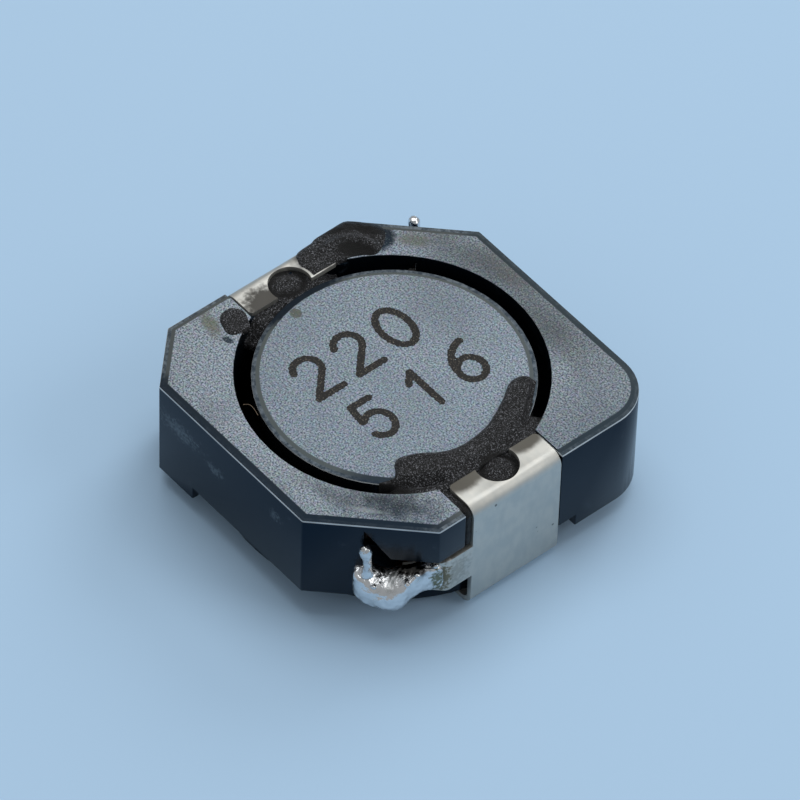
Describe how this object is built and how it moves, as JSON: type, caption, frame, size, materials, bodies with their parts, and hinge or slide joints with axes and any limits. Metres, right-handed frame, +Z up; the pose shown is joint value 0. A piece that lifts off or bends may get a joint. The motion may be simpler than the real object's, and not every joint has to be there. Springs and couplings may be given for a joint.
{
  "type": "shielded smd inductor",
  "caption": "Low square shielded power inductor: ferrite ring core round a drum core with a hidden winding, two tinned clip terminals and dabs of black adhesive.",
  "frame": {"origin": "middle of the underside, on the plane of the two solder pads that rest on the board", "axes": "+Z up from the board, +X out through the front terminal, +Y along the width of the terminals"},
  "size_m": [0.0098, 0.01, 0.004],
  "materials": {
    "ferrite_ring": "pressed and fired ferrite, dark blue-grey, fine grained, satin",
    "ferrite_drum": "pressed and fired ferrite, mid blue-grey, fine grained, satin",
    "enamelled_wire": "copper magnet wire with clear amber enamel",
    "tinned_strip": "matt tin plating on copper alloy strip",
    "solder": "bright reflowed tin solder with traces of flux",
    "black_adhesive": "cured black epoxy, grainy, semi-matt"
  },
  "bodies": {
    "root": {"ring_core": "ferrite_ring", "drum_core": "ferrite_drum", "winding": "enamelled_wire", "terminal_front": "tinned_strip", "terminal_rear": "tinned_strip", "solder_front": "solder", "solder_rear": "solder", "glue_front": "black_adhesive", "glue_rear_slot": "black_adhesive", "glue_rear_top": "black_adhesive", "glue_dot": "black_adhesive"}
  },
  "joints": []
}
